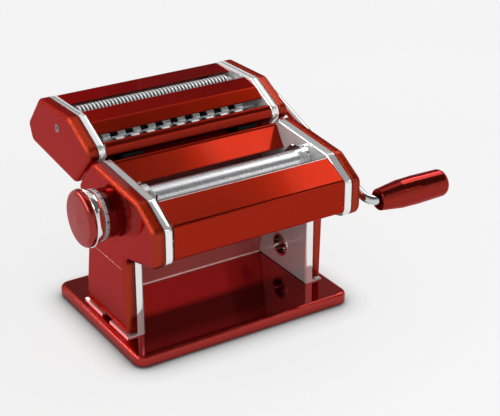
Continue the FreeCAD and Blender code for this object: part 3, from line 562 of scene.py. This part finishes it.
# Cap screw: a small cross-head screw in the middle of the left cap.
# It is darkened steel and holds the cap to the cutter's plate.
screw_steel = plain_steel("screw_steel", dark=(0.16, 0.16, 0.17), light=(0.3, 0.3, 0.31), stretch=(1, 1, 1))
dress(screw_steel, "cap_screw")


# Crank: one steel rod, bent twice and chromed, that plugs into the cutter's right side.
# Its grip is turned, lacquered dark red, and spins on the rod's end.
rod_chrome = chrome_plate("rod_chrome", dark=0.56, light=0.64, smooth=0.06, dull=0.12)
dress(rod_chrome, "crank_rod")
grip_lacquer = candy_paint(
    "grip_lacquer", deep=(0.24, 0.009, 0.003), bright=(0.3, 0.013, 0.004),
    smooth=0.13, dull=0.18, gloss=0.3, edge=0.001,
)
dress(grip_lacquer, "crank_grip")


# Floor: one wide pale sheet of paper that the machine stands on.
# What is seen directly is lifted to near white, and ambient occlusion cuts the lift where the machine
# stands close over it, a painted contact shadow.
def board(name, corners, finish):
    mesh = bpy.data.meshes.new(name)
    mesh.from_pydata(corners, [], [(0, 1, 2, 3)])
    mesh.materials.append(finish)
    piece = bpy.data.objects.new(name, mesh)
    scene.collection.objects.link(piece)
    return piece


# One where a ray comes from the camera, from gloss or through glass
def seen_directly(tree):
    rays = tree.nodes.new("ShaderNodeLightPath")
    glossy = reckon(tree, "MAXIMUM", rays.outputs["Is Camera Ray"], rays.outputs["Is Glossy Ray"])
    return reckon(tree, "MAXIMUM", glossy, rays.outputs["Is Transmission Ray"])


white = (1, 1, 1, 1)
floor_half = 6.0
floor_lift = 0.715
shadow_reach = 0.026
shadow_depth = 2.2
floor_finish, tree, shader = plain_finish(
    "pale_floor", grain=2, detail=3, dark=grey(0.2), light=grey(0.21), dull=0.9,
)
shader.inputs["Specular IOR Level"].default_value = 0.1
contact = tree.nodes.new("ShaderNodeAmbientOcclusion")
contact.samples = 12
contact.inputs["Distance"].default_value = shadow_reach
lift = reckon(tree, "MULTIPLY", seen_directly(tree), floor_lift)
shadow = reckon(tree, "POWER", contact.outputs["AO"], shadow_depth)
shader.inputs["Emission Color"].default_value = white
tree.links.new(reckon(tree, "MULTIPLY", lift, shadow), shader.inputs["Emission Strength"])
around_floor = ((-1, -1), (1, -1), (1, 1), (-1, 1))
floor_corners = [(floor_half * x, floor_half * y, 0) for x, y in around_floor]
board("floor", floor_corners, floor_finish)


# Light: a pale room whose ceiling is greyer than its walls, and two soft boxes.
# One box hangs over the right and one stands low in front. Both only shine, and gloss doesn't show them.
wall_level = 0.9
ceiling_level = 0.4
wall_top = 0.15
ceiling_start = 0.75
room_level = 0.8
world = bpy.data.worlds.new("pale_room")
scene.world = world
world.use_nodes = True
tree = world.node_tree
tree.nodes.clear()
height = along(tree, "Generated", "Z")
shown = tree.nodes.new("ShaderNodeBackground")
shown.inputs["Color"].default_value = white
shown_level = spread(tree, height, wall_top, ceiling_start, wall_level, ceiling_level)
tree.links.new(shown_level, shown.inputs["Strength"])
lighting = tree.nodes.new("ShaderNodeBackground")
lighting.inputs["Color"].default_value = white
lighting.inputs["Strength"].default_value = room_level
room = tree.nodes.new("ShaderNodeMixShader")
out = tree.nodes.new("ShaderNodeOutputWorld")
tree.links.new(seen_directly(tree), room.inputs["Fac"])
tree.links.new(lighting.outputs["Background"], room.inputs[1])
tree.links.new(shown.outputs["Background"], room.inputs[2])
tree.links.new(room.outputs["Shader"], out.inputs["Surface"])
machine_middle = Vector((0.0, 0.0, 0.1))


def softbox(name, place, width, height, power):
    lamp = bpy.data.lights.new(name, "AREA")
    lamp.shape = "RECTANGLE"
    lamp.size = width
    lamp.size_y = height
    lamp.energy = power
    stand = bpy.data.objects.new(name, lamp)
    stand.location = place
    stand.rotation_euler = (machine_middle - Vector(place)).to_track_quat("-Z", "Y").to_euler()
    stand.visible_glossy = False
    scene.collection.objects.link(stand)


softbox("over_right", place=(0.75, 0.4, 1.2), width=0.8, height=0.6, power=1.2)
softbox("front_fill", place=(0.2, -1.1, 0.28), width=0.6, height=0.3, power=5.0)


# Cards: bright boards at the left, overhead at the right and behind, with dim ones between and in front.
# They are matt boards that glow a little, stood or hung round the machine.
# Only gloss sees them, so the chrome and the lacquer have something to mirror and the floor stays even.
card_mottle = 1.1


def card(name, corners, shade, glow):
    finish, tree, shader = plain_finish(
        name, grain=2, detail=3, dark=grey(shade), light=grey(shade * card_mottle), dull=0.9,
    )
    shader.inputs["Emission Color"].default_value = white
    shader.inputs["Emission Strength"].default_value = glow
    piece = board(name, corners, finish)
    piece.visible_camera = False
    piece.visible_diffuse = False
    piece.visible_shadow = False


def upright(start, end, bottom, top):
    return [(*start, bottom), (*end, bottom), (*end, top), (*start, top)]


card_ceiling = 1.5


def overhead(*places):
    return [(*place, card_ceiling) for place in places]


card("left_card", upright((-0.6, 1.15), (-1.25, -0.35), bottom=0.62, top=0.88), shade=0.5, glow=10.0)
card("top_card", overhead((-0.5, 0.12), (0.86, 0.12), (0.86, 1.1), (-0.5, 1.1)), shade=0.5, glow=0.66)
card("right_card", overhead((0.86, 0.0), (1.9, 0.0), (1.9, 0.75), (0.86, 0.75)), shade=0.5, glow=2.5)
card("far_card", overhead((1.2, 0.75), (1.9, 0.75), (1.9, 1.3), (1.3, 1.3)), shade=0.5, glow=5.0)
card("back_card", upright((1.0, 1.92), (2.6, 0.9), bottom=0.25, top=2.2), shade=0.3, glow=0.1)
card("low_card", upright((0.0, 2.2), (1.0, 1.93), bottom=0.7, top=1.38), shade=0.15, glow=0.12)
card("high_card", upright((0.0, 2.2), (1.0, 1.93), bottom=1.42, top=1.9), shade=0.5, glow=1.4)
front_edge = [(1.9, -1.5, 1.1), (-0.6, -1.5, 1.1)]
card("front_card", overhead((-0.6, 0.05), (1.9, 0.05)) + front_edge, shade=0.15, glow=0.06)
card("window_left", upright((0.35, -1.1), (0.7, -0.99), bottom=0.8, top=1.2), shade=0.5, glow=0.2)
card("window_right", upright((0.7, -0.99), (0.87, -0.93), bottom=0.8, top=1.2), shade=0.5, glow=2.4)


# Camera: where the photograph was taken from, in front at the left and above.
# Its angles and its focal length were fitted to a frame 500 pixels wide, with no shift.
camera_turn = -32.36
camera_rise = 25.40
camera_place = (-0.5072, -0.8777, 0.5681)
focal_pixels = 1327.3
frame_width = 500
camera_data = bpy.data.cameras.new("camera")
camera_data.sensor_fit = "HORIZONTAL"
camera_data.sensor_width = 36
camera_data.lens = focal_pixels / frame_width * camera_data.sensor_width
camera = bpy.data.objects.new("camera", camera_data)
camera.location = camera_place
camera.rotation_euler = (math.radians(90 - camera_rise), 0, math.radians(camera_turn))
scene.collection.objects.link(camera)
scene.camera = camera
scene.view_settings.view_transform = "Standard"
